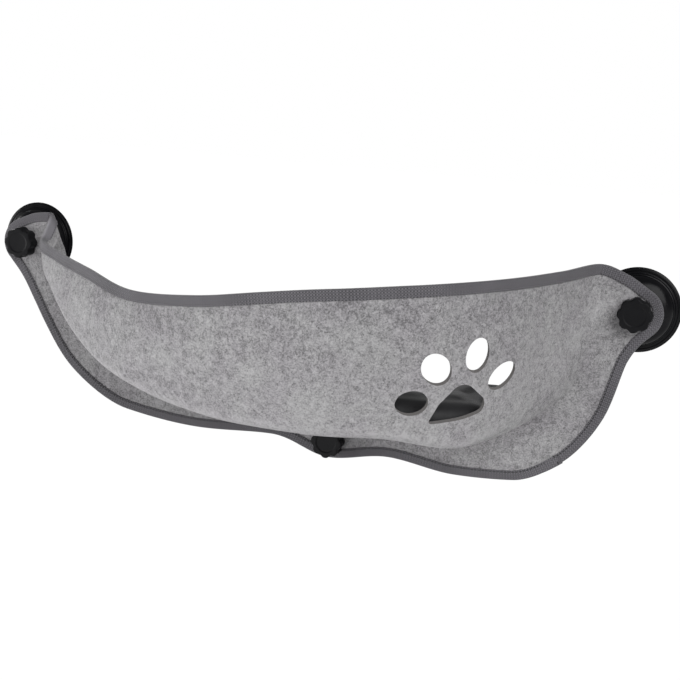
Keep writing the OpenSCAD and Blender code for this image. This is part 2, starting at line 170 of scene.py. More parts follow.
# The photograph's camera
IMAGE_SIZE = 680
FOCAL_PX = 1200
SENSOR = 36.0
CAMERA_AZIMUTH, CAMERA_ELEVATION, CAMERA_ROLL = 16.3, 10.6, 4.5
CAMERA_TARGET = (0.047, -0.060, -0.054)
CAMERA_DISTANCE = 1.145
# The lamps: name, place, what they shine at, size and power
POCKET = (0, -0.1, -0.05)
LAMPS = (
    ("Key", (1.3, -1.7, 1.1), POCKET, 1.6, 38.3),
    ("Fill", (-2.2, -1.05, -0.2), POCKET, 1.0, 25.5),
    ("Edge", (-1.7, 0.15, 0.45), (-0.3, 0, 0), 0.3, 2),
    ("Back", (-1.7, 1.5, 0.8), POCKET, 0.8, 22),
    ("Low", (-0.51, -1.51, -0.59), POCKET, 0.6, 4),
)


def size_property(name, description, default):
    return FloatProperty(name=name, description=description, default=default, unit="LENGTH")


def colour_property(name, description, default):
    return FloatVectorProperty(
        name=name, description=description, default=default, subtype="COLOR", min=0, max=1)


class PerchSizes(bpy.types.PropertyGroup):
    """Sizes of the perch that the frame doesn't give"""

    pocket_depth: size_property("Pocket depth", "How far the front edge stands out", 0.212)
    floor_sag: size_property("Floor sag", "Sag of the pocket's floor", 0.008)
    wall_bulge: size_property("Wall bulge", "Swell of the front wall", 0.008)
    tab_radius: size_property("Tab radius", "Radius of the tabs' round ends", 0.0238)
    fold_radius: size_property("Fold softness", "How far the folds are rounded", 0.0045)
    mesh_step: size_property("Mesh step", "Distance between the sheet's points", 0.004)
    tape_width: size_property("Tape width", "Width of the tape on each face", 0.0085)
    tape_thickness: size_property("Tape thickness", "Thickness of the tape", 0.0008)
    tape_gap: size_property("Tape gap", "Gap between tape and felt", 0.0003)
    tape_lap: size_property("Tape lap", "How far the tape's end laps over its start", 0.032)
    stitch_inset: size_property("Stitch inset", "From the tape's free border to the seam", 0.0015)
    stitch_pitch: size_property("Stitch pitch", "Distance between stitches", 0.0036)
    stitch_length: size_property("Stitch length", "Length of one stitch", 0.0029)
    stitch_width: size_property("Stitch width", "Width of one stitch", 0.0012)
    paw_width: size_property("Paw width", "Width of the cut-out paw", 0.111)
    paw_turn: FloatProperty(
        name="Paw turn", description="Turn of the paw from the window's normal",
        default=math.radians(41), subtype="ANGLE")
    pad_thickness: size_property("Cushion thickness", "Thickness in the middle", 0.0385)
    pad_seam: size_property("Cushion seam", "Height of the cushion's seam", 0.015)
    pad_band: size_property("Cushion seam band", "Height of the seam's band", 0.003)
    pad_lean: size_property("Cushion lean", "Bulge towards the glass", 0.008)
    pad_swell: size_property("Cushion swell", "Furthest that a point may swell", 0.0035)
    voxel: size_property("Cushion voxel", "Remesh size of the cushion", 0.005)
    piping_radius: size_property("Piping radius", "Radius of the cushion's piping", 0.0022)
    lobes: IntProperty(name="Lobes", description="Lobes round a knob", default=8)
    lobe_depth: size_property("Lobe depth", "Depth of the grooves round a knob", 0.0018)
    thread_pitch: size_property("Thread pitch", "Pitch of the studs' thread", 0.001)
    thread_depth: size_property("Thread depth", "Depth of the studs' thread", 0.0005)


class PerchColours(bpy.types.PropertyGroup):
    """Colours of the perch's finishes"""

    felt_light: colour_property("Felt, light fibres", "Palest fibres of the felt", (0.462, 0.458, 0.466))
    felt_dark: colour_property("Felt, dark fibres", "Darkest fibres of the felt", (0.150, 0.149, 0.152))
    # The faces that the punches cut through the felt are given this darker colour.
    felt_cut: colour_property("Felt, cut edge", "Dense edge that a punch leaves", (0.150, 0.142, 0.139))
    tape: colour_property("Tape", "Edge tape", (0.114, 0.110, 0.120))
    thread: colour_property("Thread", "Sewing thread", (0.014, 0.014, 0.015))
    cushion: colour_property("Cushion", "Cushion cloth", (0.011, 0.011, 0.012))
    rubber: colour_property("Rubber", "Suction cups", (0.004, 0.004, 0.005))
    plastic: colour_property("Plastic", "Knobs and washers", (0.005, 0.005, 0.006))
    steel: colour_property("Steel", "Studs and inserts", (0.56, 0.56, 0.57))


def sizes():
    return bpy.context.scene.perch_sizes


def colours():
    return bpy.context.scene.perch_colours


# Node trees written as expressions


class Wire:
    """A socket of a node tree, with the operators that expressions use."""

    def __init__(self, graph, socket):
        self.graph = graph
        self.socket = socket

    def __add__(self, other):
        return self.graph.maths("ADD", self, other)

    __radd__ = __add__

    def __sub__(self, other):
        return self.graph.maths("SUBTRACT", self, other)

    def __rsub__(self, other):
        return self.graph.maths("SUBTRACT", other, self)

    def __mul__(self, other):
        return self.graph.maths("MULTIPLY", self, other)

    __rmul__ = __mul__

    def output(self, name):
        """Another output of the same node."""
        return Wire(self.graph, self.socket.node.outputs[name])


class Graph:
    """A node tree that is built node by node."""

    def __init__(self, tree):
        self.tree = tree

    def add(self, kind, inputs=None, output=0, **settings):
        """One node, with the values or links of its sockets and with its settings, which are set first."""
        node = self.tree.nodes.new(kind)
        for name, value in settings.items():
            if name == "stops":
                set_ramp(node.color_ramp, value)
            else:
                setattr(node, name, value)
        for key, value in (inputs or {}).items():
            if isinstance(value, Wire):
                self.tree.links.new(value.socket, node.inputs[key])
            else:
                node.inputs[key].default_value = value
        return Wire(self, node.outputs[output]) if node.outputs else None

    def maths(self, operation, *values):
        return self.add("ShaderNodeMath", dict(enumerate(values)), operation=operation)

    def vector(self, operation, *values):
        return self.add("ShaderNodeVectorMath", dict(enumerate(values)), operation=operation)

    def part(self, vector, axis):
        """One coordinate of a vector."""
        return self.add("ShaderNodeSeparateXYZ", {0: vector}, output=axis)

    def ease(self, value, first, last, start=0.0, end=1.0):
        """Goes softly from start to end while a value goes from first to last."""
        return self.add("ShaderNodeMapRange", {
            "Value": value, "From Min": first, "From Max": last, "To Min": start, "To Max": end},
            interpolation_type="SMOOTHSTEP")


def set_ramp(ramp, stops):
    """Gives a colour ramp its stops, each a place and a grey value or a colour."""
    while len(ramp.elements) < len(stops):
        ramp.elements.new(0.5)
    for element, (place, value) in zip(ramp.elements, stops):
        element.position = place
        element.color = (*value, 1) if hasattr(value, "__len__") else (value, value, value, 1)


class Finish(Graph):
    """A material whose Principled shader is fed by expressions."""

    def __init__(self, name):
        self.material = bpy.data.materials.new(name)
        self.material.use_nodes = True
        super().__init__(self.material.node_tree)
        self.shader = self.tree.nodes["Principled BSDF"]

    def place(self, scale=(1, 1, 1), turn=(0, 0, 0)):
        """The piece's own coordinates in metres, turned and stretched."""
        coords = self.add("ShaderNodeTexCoord", output="Object")
        turned = self.add("ShaderNodeMapping", {"Vector": coords, "Rotation": turn})
        return self.vector("MULTIPLY", turned, scale)

    def along(self, name):
        """A UV map of the piece, which holds metres."""
        return self.add("ShaderNodeUVMap", uv_map=name)

    def noise(self, where, scale, detail=2.0, roughness=0.5, distortion=0.0):
        return self.add("ShaderNodeTexNoise", {
            "Vector": where, "Scale": scale, "Detail": detail, "Roughness": roughness,
            "Distortion": distortion})

    def wave(self, direction, scale):
        return self.add(
            "ShaderNodeTexWave", {"Vector": self.place(), "Scale": scale}, bands_direction=direction)

    def strands(self, scale, patches, turn):
        """Short thin fibres: the level lines of a noise, broken up by a coarser one."""
        where = self.place(turn=turn)
        level = self.maths("ABSOLUTE", self.noise(where, scale, 1, 0.5, 1.5) - 0.5)
        line = self.ramp(level, (0.0, 1.0), (0.045, 0.0))
        return line * self.ramp(self.noise(where, patches, 1), (0.42, 0.0), (0.56, 1.0))

    def ramp(self, value, *stops):
        return self.add("ShaderNodeValToRGB", {"Fac": value}, stops=stops)

    def blend(self, factor, first, second):
        """A mix of two colours."""
        opaque = [colour if isinstance(colour, Wire) else (*colour, 1) for colour in (first, second)]
        return self.add("ShaderNodeMix", {0: factor, 6: opaque[0], 7: opaque[1]}, output=2, data_type="RGBA")

    def bump(self, height, distance, strength=1.0):
        return self.add(
            "ShaderNodeBump", {"Height": height, "Distance": distance, "Strength": strength})

    def feed(self, **inputs):
        """Sets the shader's sockets, each named in lower case with underscores."""
        for name, value in inputs.items():
            socket = self.shader.inputs[name.replace("_", " ").title().replace("Ior", "IOR")]
            if isinstance(value, Wire):
                self.tree.links.new(value.socket, socket)
            elif hasattr(value, "__len__") and len(value) == 3:
                socket.default_value = (*value, 1)
            else:
                socket.default_value = value
        return self.material


def times(share, colour):
    """A colour made lighter or darker."""
    return [share * part for part in colour]


def felt_finish():
    """Needled felt: pale fibres in soft mottles, with short dark ones scattered in every direction. Over them
    lie a painted highlight along the belly fold, painted light on the lower wall and painted shade towards
    the top edge.
    """
    felt = Finish("Mottled felt")
    mottle = felt.noise(felt.place(), 210, 4, 0.62, 0.6)
    cloud = felt.noise(felt.place(), 30, 2)
    fine = felt.noise(felt.place(), 620, 3, 0.7)
    tone = 0.36 * mottle + 0.12 * cloud + 0.52 * fine
    dark = felt.strands(260, 110, (0, 0, 0)) + felt.strands(330, 150, (0.4, 0.9, 0.3))
    rows = felt.part(felt.along("Rows"), 1)
    # Painted highlight: a pale band along the belly fold, where the fold catches the light. It fades out
    # towards the right end.
    fold_painted_highlight = felt.ease(felt.maths("ABSOLUTE", rows - FOLD_ROW / TOP_ROW), 0.0, 0.03, 0.09, 0.0)
    fold_painted_highlight_end = felt.ease(felt.part(felt.place(), 0), 0.195, 0.230, 1.0, 0.0)
    # Painted light and shade across the rows: the lower wall just above the belly fold is made paler, where
    # more light falls, and the wall towards the top edge is made darker.
    lower_wall_painted_light = felt.ramp(rows, (0.60, 0.5), (0.66, 0.95), (0.76, 0.85), (0.86, 0.5), (0.95, 0.30))
    tone = tone + fold_painted_highlight * fold_painted_highlight_end + 0.09 * (lower_wall_painted_light - 0.5)
    shade = felt.ramp(tone - 0.09 * dark, (0.37, 0.0), (0.50, 0.55), (0.63, 1.0))
    colour = felt.blend(shade, colours().felt_dark, colours().felt_light)
    tint = felt.ramp(cloud, (0.35, (1.0, 0.975, 1.0)), (0.65, (1.0, 0.995, 0.995)))
    # A punched edge has no place on the map, which reads nought there
    punched = felt.maths("LESS_THAN", rows, 0.0005)
    return felt.feed(
        base_color=felt.blend(punched, felt.vector("MULTIPLY", colour, tint), colours().felt_cut),
        roughness=0.95,
        sheen_weight=0.25,
        sheen_roughness=0.5,
        specular_ior_level=0.15,
        normal=felt.bump(fine - 0.3 * dark, 0.0006, 0.8),
    )


def tape_finish():
    """Woven tape: ribs along it, crossed by rows of small picks. It has a painted highlight where the left
    pleat turns it over.
    """
    tape = Finish("Woven tape")
    woven = tape.along("Tape")
    ribs = tape.maths("SINE", tape.part(woven, 1) * (2 * math.pi / RIB_PITCH))
    picks = tape.maths("SINE", tape.part(woven, 0) * (2 * math.pi / PICK_PITCH))
    fade = tape.noise(tape.place(), 30, 2)
    dots = ribs * picks
    fine = tape.noise(tape.place(), 700, 2)
    tone = 0.5 + 0.06 * ribs + 0.17 * picks + 0.44 * dots + 0.4 * (fade - 0.5) + 0.7 * (fine - 0.5)
    dark, light, pleat_painted_light = (times(share, colours().tape) for share in (0.5, 1.5, 2.1))
    # Painted highlight: round the left pleat, where the tape turns over, it is blended towards 2.1 times the
    # tape's colour.
    pleat = place(mix(np.array(POCKET_RIBS[0][0]), np.array(POCKET_RIBS[1][0]), 0.6))
    away = tape.vector("DISTANCE", tape.place(), pleat).output("Value")
    pleat_painted_light_mask = tape.ease(away, 0.008, 0.022, 1.0, 0.0)
    woven_colour = tape.blend(tape.ramp(tone, (0.05, 0.0), (0.95, 1.0)), dark, light)
    return tape.feed(
        base_color=tape.blend(pleat_painted_light_mask, woven_colour, pleat_painted_light),
        roughness=0.85,
        sheen_weight=0.2,
        specular_ior_level=0.2,
        normal=tape.bump(0.20 * ribs + 0.20 * picks + 0.60 * dots, 0.0002, 0.7),
    )


def thread_finish():
    """Sewing thread with its twist: dark along the flange, as grey as the tape along the upper edge."""
    thread = Finish("Sewing thread")
    twist = thread.wave("DIAGONAL", 700.0)
    black = thread.blend(twist, colours().thread, times(1.6, colours().thread))
    grey = thread.blend(twist, colours().tape, times(1.25, colours().tape))
    on_pocket = thread.ease(thread.part(thread.place(), 2), -0.032, -0.022)
    return thread.feed(
        base_color=thread.blend(on_pocket, black, grey),
        roughness=0.6,
        normal=thread.bump(twist, 0.0001, 0.5),
    )


def cushion_finish():
    """Soft black cloth with a fine weave and a silky gloss on its folds."""
    cloth = Finish("Cushion cloth")
    warp, weft = cloth.wave("X", 330.0), cloth.wave("Y", 330.0)
    nap = cloth.noise(cloth.place(), 130, 3)
    light = times(2.2, colours().cushion)
    return cloth.feed(
        base_color=cloth.blend(0.6 * nap + 0.2 * warp + 0.2 * weft, colours().cushion, light),
        roughness=0.42 + 0.25 * nap,
        specular_ior_level=0.31,
        sheen_weight=0.20,
        sheen_roughness=0.35,
        normal=cloth.bump(0.5 * warp + 0.5 * weft + nap, 0.00015, 0.5),
    )


def rubber_finish():
    """Smooth moulded rubber, a little dusty."""
    rubber = Finish("Cup rubber")
    dust = rubber.noise(rubber.place(), 60, 4, 0.6)
    grain = rubber.noise(rubber.place(), 1500, 2)
    dusty = [part + 0.004 for part in colours().rubber]
    return rubber.feed(
        base_color=rubber.blend(rubber.ramp(dust, (0.45, 0.0), (0.75, 1.0)), colours().rubber, dusty),
        roughness=0.14 + 0.2 * dust,
        specular_ior_level=0.12,
        normal=rubber.bump(grain, 0.00004, 0.4),
    )


def plastic_finish():
    """Satin moulded plastic with a fine spark texture and rubbed patches."""
    plastic = Finish("Knob plastic")
    grain = plastic.noise(plastic.place(), 1300, 3, 0.6)
    wear = plastic.noise(plastic.place(), 90, 3)
    rubbed = [part + 0.004 for part in colours().plastic]
    return plastic.feed(
        base_color=plastic.blend(wear, colours().plastic, rubbed),
        roughness=0.34 + 0.16 * wear,
        specular_ior_level=0.09,
        normal=plastic.bump(grain, 0.00006, 0.5),
    )


def steel_finish():
    """Zinc-plated steel with fine drawing marks and dull patches."""
    steel = Finish("Plated steel")
    marks = steel.noise(steel.place((300, 2500, 300)), 1.0, 3)
    patches = steel.noise(steel.place(), 220, 3)
    dull = times(0.72, colours().steel)
    return steel.feed(
        base_color=steel.blend(patches, dull, colours().steel),
        metallic=1.0,
        roughness=0.24 + 0.22 * patches,
        normal=steel.bump(marks, 0.00003, 0.4),
    )


def finish_of(name):
    """The named finish, made the first time that a piece asks for it."""
    makers = {
        "felt": felt_finish, "binding": tape_finish, "thread": thread_finish, "cushion": cushion_finish,
        "cup_rubber": rubber_finish, "knob_plastic": plastic_finish, "washer_plastic": plastic_finish,
        "stud_steel": steel_finish,
    }
    key = f"perch {makers[name].__name__}"
    material = bpy.data.materials.get(key)
    if material is None:
        material = makers[name]()
        material.name = key
    return material


# Meshes


def new_object(name, data):
    """An object at the origin, in the scene."""
    thing = bpy.data.objects.new(name, data)
    bpy.context.collection.objects.link(thing)
    return thing


def circle(count):
    """Even angles once round."""
    return np.linspace(0, 2 * math.pi, count, endpoint=False)


def ring_round(side, radius, w, turns):
    """Points round a stud's axis at a distance from the glass."""
    x, _, z = CENTRE[side]
    return np.stack([x + radius * np.cos(turns), 0 * turns - w, z + radius * np.sin(turns)], axis=1)


def evened(loop, passes=1):
    """A closed loop of points or directions, each drawn towards its neighbours."""
    for _ in range(passes):
        loop = (np.roll(loop, 1, axis=0) + 2 * loop + np.roll(loop, -1, axis=0)) / 4
    return loop


def mesh_piece(name, points, faces, layers=None):
    """An object at the origin with smooth faces. layers holds UV maps as one (u, v) for each face corner."""
    mesh = bpy.data.meshes.new(name)
    mesh.from_pydata([tuple(p) for p in points], [], [tuple(f) for f in faces])
    for layer, values in (layers or {}).items():
        mesh.uv_layers.new(name=layer).data.foreach_set("uv", np.array(values, dtype=np.float32).ravel())
    mesh.validate()
    mesh.shade_smooth()
    return new_object(name, mesh)


def bake(piece):
    """Turns what a piece's modifiers make into its plain mesh."""
    depsgraph = bpy.context.evaluated_depsgraph_get()
    mesh = bpy.data.meshes.new_from_object(piece.evaluated_get(depsgraph))
    piece.modifiers.clear()
    piece.data = mesh


def outwards(piece):
    """Merges doubles and turns the faces of a closed piece outwards."""
    work = bmesh.new()
    work.from_mesh(piece.data)
    bmesh.ops.remove_doubles(work, verts=work.verts, dist=1e-6)
    bmesh.ops.recalc_face_normals(work, faces=work.faces)
    work.to_mesh(piece.data)
    work.free()


def sharpen(piece, degrees):
    """Leaves edges sharper than an angle unsmoothed."""
    piece.data.set_sharp_from_angle(angle=math.radians(degrees))


def swept(name, rings, closed, layer=None, lengths=None):
    """A skin over rings of points. A ring's own ends always meet, and its last ring meets the first where the
    sweep is closed. lengths are the distances along and around that its UV map holds."""
    count, around = rings.shape[:2]
    faces = []
    corners_uv = []
    for i in range(count if closed else count - 1):
        for j in range(around):
            here, onward = i * around, ((i + 1) % count) * around
            k = (j + 1) % around
            faces.append((here + j, onward + j, onward + k, here + k))
            if lengths is not None:
                u, v = lengths
                corners_uv += [(u[i], v[j]), (u[i + 1], v[j]), (u[i + 1], v[j + 1]), (u[i], v[j + 1])]
    if not closed:
        last = (count - 1) * around
        ends = [tuple(range(around)), tuple(last + j for j in reversed(range(around)))]
        faces += ends
        if lengths is not None:
            corners_uv += [(lengths[0][0], lengths[1][j]) for j in range(around)]
            corners_uv += [(lengths[0][-1], lengths[1][j]) for j in reversed(range(around))]
    layers = {layer: corners_uv} if lengths is not None else None
    piece = mesh_piece(name, rings.reshape(-1, 3), faces, layers)
    outwards(piece)
    return piece


def turned(name, side, profile, segments=96):
    """A body of revolution about a stud's axis. Its profile runs from axis to axis as points of a radius and
    a distance from the glass, and a third number rounds a corner."""
    outline = np.array(rounded(profile))
    centre = CENTRE[side]
    points = [
        (centre[0] + r * math.cos(a), -w, centre[2] + r * math.sin(a))
        for a in circle(segments) for r, w in outline]
    count = len(outline)
    faces = []
    for here in range(0, segments * count, count):
        onward = (here + count) % (segments * count)
        faces += [(here + j, onward + j, onward + j + 1, here + j + 1) for j in range(count - 1)]
    piece = mesh_piece(name, points, faces)
    outwards(piece)
    sharpen(piece, 50)
    return piece


def rounded(profile, arc_steps=5):
    """A profile with its corners rounded by arcs, where a point has a third number."""
    points = []
    for index, point in enumerate(profile):
        radius = point[2] if len(point) > 2 else 0
        here = np.array(point[:2])
        if not radius or index in (0, len(profile) - 1):
            points.append(tuple(here))
            continue
        before = np.array(profile[index - 1][:2]) - here
        after = np.array(profile[index + 1][:2]) - here
        reach = min(radius, 0.45 * np.linalg.norm(before), 0.45 * np.linalg.norm(after))
        start = here + before / np.linalg.norm(before) * reach
        end = here + after / np.linalg.norm(after) * reach
        for step in range(arc_steps + 1):
            t = step / arc_steps
            points.append(tuple((1 - t) ** 2 * start + 2 * t * (1 - t) * here + t * t * end))
    return points


def closed_between(name, front, back, layers):
    """A closed solid between two grids of points that face each other, with a UV map for each layer."""
    columns, rows = front.shape[:2]
    side = columns * rows
    faces = []
    for i in range(columns - 1):
        for j in range(rows - 1):
            a, b = i * rows + j, (i + 1) * rows + j
            faces.append((a, b, b + 1, a + 1))
            faces.append((side + a, side + a + 1, side + b + 1, side + b))
    rim = [i * rows for i in range(columns)]
    rim += [(columns - 1) * rows + j for j in range(1, rows)]
    rim += [i * rows + rows - 1 for i in range(columns - 2, -1, -1)]
    rim += list(range(rows - 2, 0, -1))
    for here, onward in zip(rim, rim[1:] + rim[:1]):
        faces.append((onward, here, side + here, side + onward))
    maps = {}
    for layer, grid in layers.items():
        flat = grid.reshape(-1, 2)
        maps[layer] = [flat[corner % side] for face in faces for corner in face]
    return mesh_piece(name, np.concatenate([front.reshape(-1, 3), back.reshape(-1, 3)]), faces, maps)


# The sheet


def unit(v):
    return v / np.linalg.norm(v, axis=-1, keepdims=True)


def mix(a, b, t):
    return a + (b - a) * t


def arch(t):
    return 4 * t * (1 - t)


def place(shares):
    x, depth, z = shares
    return np.array([x * HALF, -FELT_PLANE - depth * sizes().pocket_depth, z * DROP])


# Rows of the mesh, counted in the rows of the CAD source, with more of them where the sheet is wide
SPANS = ((0, 1, 3), (1, 3, 14), (3, 7, 34), (7, 10, 30), (10, 11, 3))
ROWS = np.concatenate([np.linspace(a, b, n, endpoint=False) for a, b, n in SPANS] + [np.array([TOP_ROW])])


def row_index(row):
    return int(np.argmin(abs(ROWS - row)))


def tape_wrap():
    """How far the tape stands out past the felt's edge."""
    return sizes().tape_gap + sizes().tape_thickness


def pocket_rib(shares):
    """Points of a rib from the bottom edge to the top edge."""
    top, fold, crease, low = (place(p) for p in shares)
    top = top - unit(top - fold) * tape_wrap()
    low = low + unit(crease - low) * tape_wrap()
    border = low + unit(crease - low) * sizes().tape_width
    reach = 1 - sizes().tape_width / np.linalg.norm(top - fold)
    sag = np.array([0, 0, -sizes().floor_sag * shares[1][1]])
    bulge = np.array([0, -sizes().wall_bulge * shares[1][1], 0])
    under = mix(fold, top, reach) + bulge * arch(reach)
    points = []
    for row in ROWS:
        if row <= TAPE_ROW:
            points.append(mix(low, border, row))
        elif row <= CREASE_ROW:
            points.append(mix(border, crease, (row - TAPE_ROW) / (CREASE_ROW - TAPE_ROW)))
        elif row <= FOLD_ROW:
            t = (row - CREASE_ROW) / (FOLD_ROW - CREASE_ROW)
            points.append(mix(crease, fold, t) + sag * arch(t))
        elif row <= UPPER_ROW:
            t = reach * (row - FOLD_ROW) / (UPPER_ROW - FOLD_ROW)
            points.append(mix(fold, top, t) + bulge * arch(t))
        else:
            points.append(mix(under, top, row - UPPER_ROW))
    return np.array(points)


def tab_rib(shares):
    top, low = (place(p) for p in shares)
    down = unit(low - top)
    top, low = top + down * tape_wrap(), low - down * tape_wrap()
    inset = -down * sizes().tape_width
    spread = np.interp(ROWS, (0, TAPE_ROW, UPPER_ROW, TOP_ROW), (0, 0, 1, 1))
    points = mix(low + inset, top - inset, spread[:, None])
    ends = np.interp(ROWS, (0, TAPE_ROW, UPPER_ROW, TOP_ROW), (-1, 0, 0, 1))
    return points + ends[:, None] * inset


def round_end(side, angles):
    turns = np.radians(mix(angles[0], angles[1], ROWS / TOP_ROW))
    ring = np.stack([np.cos(turns), 0 * turns, np.sin(turns)], axis=1)
    return CENTRE[side] + np.array([0, -FELT_PLANE, 0]) + sizes().tab_radius * ring


def soften(rib, passes, first, last):
    """Evens a rib out between two rows."""
    a, b = row_index(first) + 1, row_index(last)
    for _ in range(passes):
        rib[a:b] = (rib[a - 1:b - 1] + 2 * rib[a:b] + rib[a + 1:b + 1]) / 4
    return rib


def sheet_ribs():
    ribs = [round_end("left", LEFT_END), tab_rib(LEFT_TAB)]
    steps = (FOLD_ROW - CREASE_ROW) / SPANS[2][2]
    for shares, softness in zip(POCKET_RIBS, RIB_SOFTNESS):
        rib = soften(pocket_rib(shares), round(softness / steps ** 2), CREASE_ROW, UPPER_ROW)
        depth = shares[1][1] * sizes().pocket_depth
        gap = max(depth, sizes().mesh_step) / SPANS[2][2]
        ribs.append(soften(rib, min(round(2 * (sizes().fold_radius / gap) ** 2), 8), 2, UPPER_ROW))
    return np.array(ribs + [tab_rib(RIGHT_TAB), round_end("right", RIGHT_END)])


class Sheet:
    """The hung sheet as a grid of points, from its left tab to its right one, with its normals."""

    def __init__(self):
        ribs = sheet_ribs()
        change = np.diff(ribs, axis=0)
        slopes = np.zeros_like(ribs)
        slopes[0], slopes[-1] = change[0], change[-1]
        same = change[:-1] * change[1:] > 0
        total = np.where(same, change[:-1] + change[1:], 1)
        slopes[1:-1] = np.where(same, 2 * change[:-1] * change[1:] / total, 0)
        columns = []
        self.rib_column = []
        for k, step in enumerate(change):
            count = max(3, math.ceil(np.linalg.norm(step, axis=1).max() / sizes().mesh_step))
            self.rib_column.append(len(columns))
            for t in np.arange(count) / count:
                ease = t * t * (3 - 2 * t)
                columns.append(
                    mix(ribs[k], ribs[k + 1], ease)
                    + slopes[k] * t * (1 - t) ** 2
                    - slopes[k + 1] * t * t * (1 - t))
        self.rib_column.append(len(columns))
        self.points = np.array(columns + [ribs[-1]])
        self.normals = self._normals()

    def _normals(self):
        along = np.gradient(self.points, axis=0)
        up = np.gradient(self.points, axis=1)
        normals = np.cross(along, up)
        lengths = np.linalg.norm(normals, axis=2, keepdims=True)
        normals = np.where(lengths > 1e-9, normals / np.maximum(lengths, 1e-9), [0.0, -1.0, 0.0])
        normals[:self.rib_column[2] + 1] = [0, -1, 0]
        normals[self.rib_column[-3]:] = [0, -1, 0]
        normals[:, :row_index(2)] = [0, -1, 0]
        return normals

    def faces_at(self, offset):
        """The grid moved along its normals, out of the pocket."""
        return self.points + self.normals * offset

    def at(self, grid, column, row):
        """A value of a grid between its points. The row is counted in the CAD source's rows."""
        j = np.interp(row, ROWS, np.arange(len(ROWS)))
        i0, j0 = min(int(column), len(grid) - 2), min(int(j), len(ROWS) - 2)
        u, v = column - i0, j - j0
        return mix(mix(grid[i0, j0], grid[i0 + 1, j0], u), mix(grid[i0, j0 + 1], grid[i0 + 1, j0 + 1], u), v)

    def border(self):
        """Points and normals round the border, anticlockwise as seen from the room."""
        points, normals = self.points, self.normals
        loop = [points[:, 0], points[-1, 1:], points[-2::-1, -1], points[0, -2:0:-1]]
        faces = [normals[:, 0], normals[-1, 1:], normals[-2::-1, -1], normals[0, -2:0:-1]]
        return np.concatenate(loop), np.concatenate(faces)

    def area(self):
        """Area of the flat sheet, without its holes."""
        p = self.points
        across = np.cross(p[1:, :-1] - p[:-1, :-1], p[:-1, 1:] - p[:-1, :-1])
        back = np.cross(p[1:, 1:] - p[:-1, 1:], p[1:, 1:] - p[1:, :-1])
        return (np.linalg.norm(across, axis=2).sum() + np.linalg.norm(back, axis=2).sum()) / 2


def loop_lengths(points):
    """Distances along a closed loop, with its whole length last."""
    steps = np.linalg.norm(np.roll(points, -1, axis=0) - points, axis=1)
    return np.concatenate([[0], np.cumsum(steps)])


def even_loop(points, values, spacing):
    """A closed loop of points and their values at even distances."""
    lengths = loop_lengths(points)
    count = round(lengths[-1] / spacing)
    at = np.arange(count) * lengths[-1] / count

    def spread(data):
        closed = np.concatenate([data, data[:1]])
        return np.stack([np.interp(at, lengths, closed[:, k]) for k in range(3)], axis=1)

    return spread(points), unit(spread(values))


class Border:
    """Even stations round the sheet's border: a point, the normal and the way into the sheet."""

    def __init__(self, sheet, spacing=0.0025):
        self.edge, self.normal = even_loop(*sheet.border(), spacing)
        heading = unit(np.roll(self.edge, -1, axis=0) - np.roll(self.edge, 1, axis=0))
        self.inward = unit(np.cross(self.normal, heading))
        for _ in range(4):
            self.inward = unit(evened(self.inward))
        self.lengths = loop_lengths(self.edge)

    def offset(self, inset, height):
        """The border's line moved into the sheet and off its middle."""
        return self.edge + self.inward * inset + self.normal * height


def paw_outlines():
    """Outlines of the paw's holes, as points in the paw's own plane."""
    turns = circle(48)
    outlines = []
    for x, y, long, short, turn in TOES:
        cos, sin = math.cos(math.radians(turn)), math.sin(math.radians(turn))
        u, v = long * np.cos(turns), short * np.sin(turns)
        outlines.append(np.stack([x + u * cos - v * sin, y + u * sin + v * cos], 1))
    round_corners = [(x + r * math.cos(t), y + r * math.sin(t)) for x, y, r in MAIN_PAD for t in turns]
    hull = geometry.convex_hull_2d([Vector(p) for p in round_corners])
    outlines.append(np.array([round_corners[k] for k in hull]))
    return [outline * sizes().paw_width for outline in outlines]


def stud_punch(side):
    """A closed punch through the felt for a stud."""
    ends = [ring_round(side, STUD_HOLE_R, w, circle(32)) for w in (FELT_BACK - FELT_T, FELT_FRONT + FELT_T)]
    return swept("Stud_punch", np.array(ends), closed=False)


def skin_of(piece):
    """A piece's faces, for finding the nearest of them or the one that a line meets."""
    mesh = piece.data
    return BVHTree.FromPolygons([v.co for v in mesh.vertices], [tuple(p.vertices) for p in mesh.polygons])


def punch(skin, outline, origin, across, up, out):
    """A closed punch through the pocket's wall, from its inner face on. As it leans down, its outline is as
    much higher as the outer face's edge drops, and so the outline is what one sees through the hole."""
    start = origin - out * sizes().paw_width / 4
    low, high = outline[:, 1].min(), outline[:, 1].max()
    stretch = FELT_T * math.tan(PUNCH_LEAN) / (high - low)
    inner = np.array([
        skin.ray_cast(Vector(start + across * x + up * (y + (y - low) * stretch)), Vector(out))[0]
        for x, y in outline])
    way = out * math.cos(PUNCH_LEAN) - up * math.sin(PUNCH_LEAN)
    return swept("Paw_punch", np.array([inner - way * FELT_T, inner + way * 3 * FELT_T]), closed=False)


def cut(piece, cutters):
    """Takes the cutters out of a piece and removes them."""
    for cutter in cutters:
        change = piece.modifiers.new("Cut", "BOOLEAN")
        change.operation = "DIFFERENCE"
        change.solver = "EXACT"
        change.object = cutter
    bake(piece)
    for cutter in cutters:
        bpy.data.objects.remove(cutter)


def dress(piece, finish, body, nodes=()):
    """Gives a piece its finish, its body and the nodes that it stands for."""
    piece.data.materials.clear()
    piece.data.materials.append(finish_of(finish))
    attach(piece, body)
    if nodes:
        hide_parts(*nodes)


